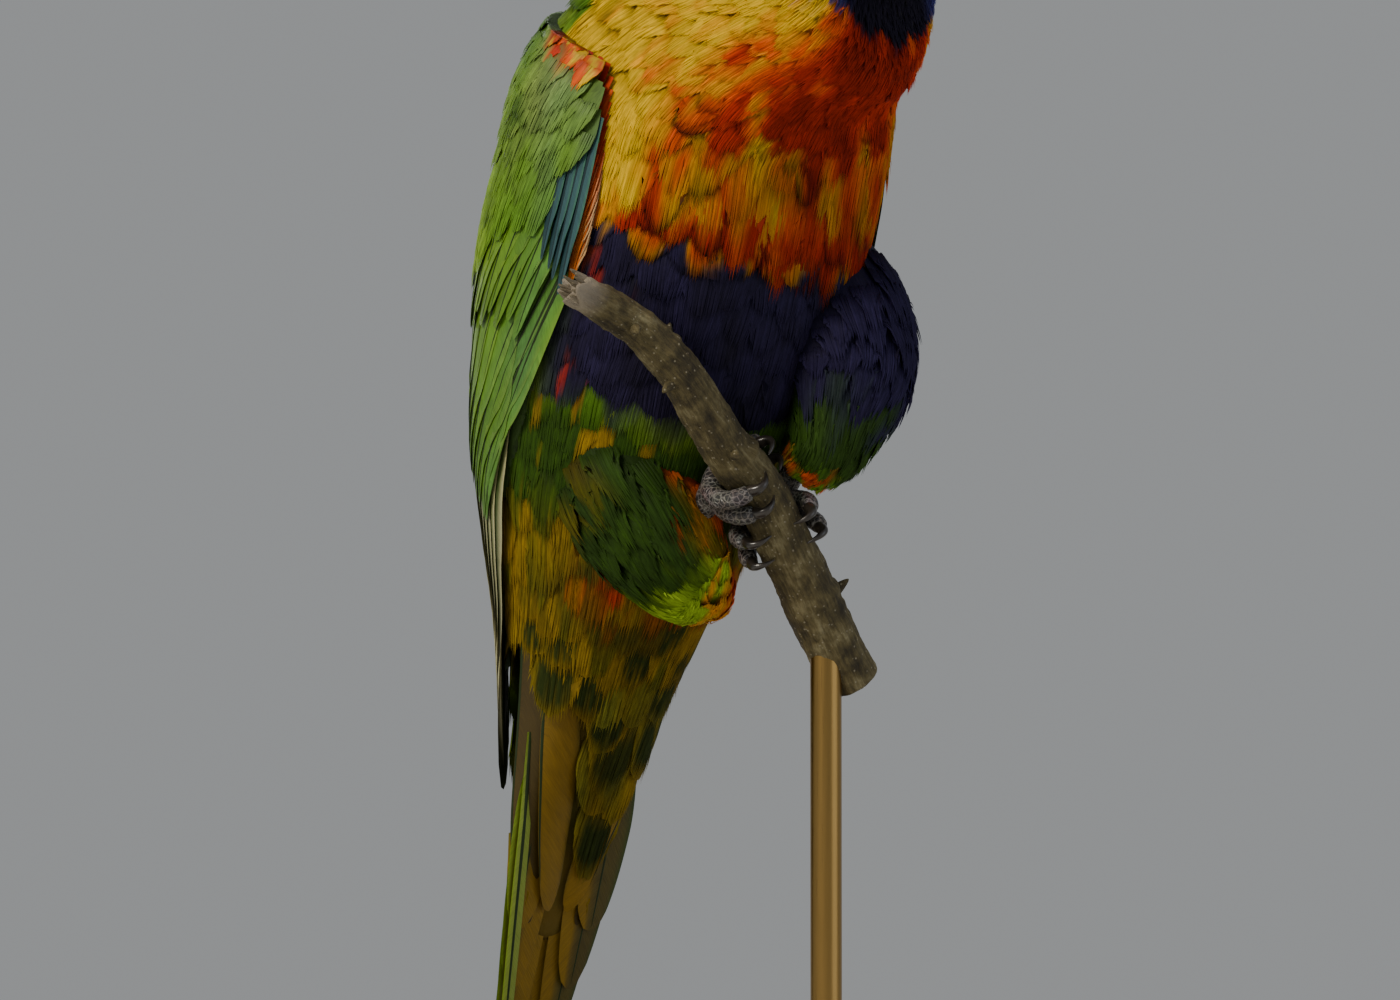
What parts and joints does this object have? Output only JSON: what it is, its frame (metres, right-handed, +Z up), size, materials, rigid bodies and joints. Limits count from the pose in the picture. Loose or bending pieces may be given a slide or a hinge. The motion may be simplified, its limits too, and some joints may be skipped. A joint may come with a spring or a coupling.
{
  "type": "rainbow lorikeet display model",
  "caption": "Life-size rainbow lorikeet gripping a short cut branch, on a round wooden base with one brass rod.",
  "frame": {"origin": "centre of the underside of the stand's round base", "axes": "+Z up, -Y the way the bird faces, +X towards the bird's left"},
  "size_m": [0.15, 0.159, 0.284],
  "materials": {
    "plumage_green": "matte overlapping feathers, bright green",
    "plumage_breast": "matte downy feathers, orange, yellow and dark blue",
    "plumage_head": "matte streaked feathers, violet blue",
    "bill": "smooth orange-red horn",
    "eye": "polished, dark pupil in a red iris",
    "foot_skin": "dry grey skin with net-like scales",
    "claw": "smooth dark horn",
    "bark": "rough olive-brown bark with small prickles",
    "base_wood": "satin turned hardwood",
    "rod_brass": "brushed brass rod"
  },
  "bodies": {
    "root": {"torso": "plumage_breast", "neck": "plumage_breast", "head": "plumage_head", "bill_upper": "bill", "bill_lower": "bill", "eye_left": "eye", "eye_right": "eye", "wing_left": "plumage_green", "wing_right": "plumage_green", "tail": "plumage_green", "leg_left": "plumage_green", "leg_right": "plumage_green", "foot_left": "foot_skin", "foot_right": "foot_skin", "claw_left_1": "claw", "claw_left_2": "claw", "claw_left_3": "claw", "claw_left_4": "claw", "claw_right_1": "claw", "claw_right_2": "claw", "claw_right_3": "claw", "claw_right_4": "claw", "perch_branch": "bark", "stand_base": "base_wood", "stand_rod": "rod_brass"}
  },
  "joints": []
}
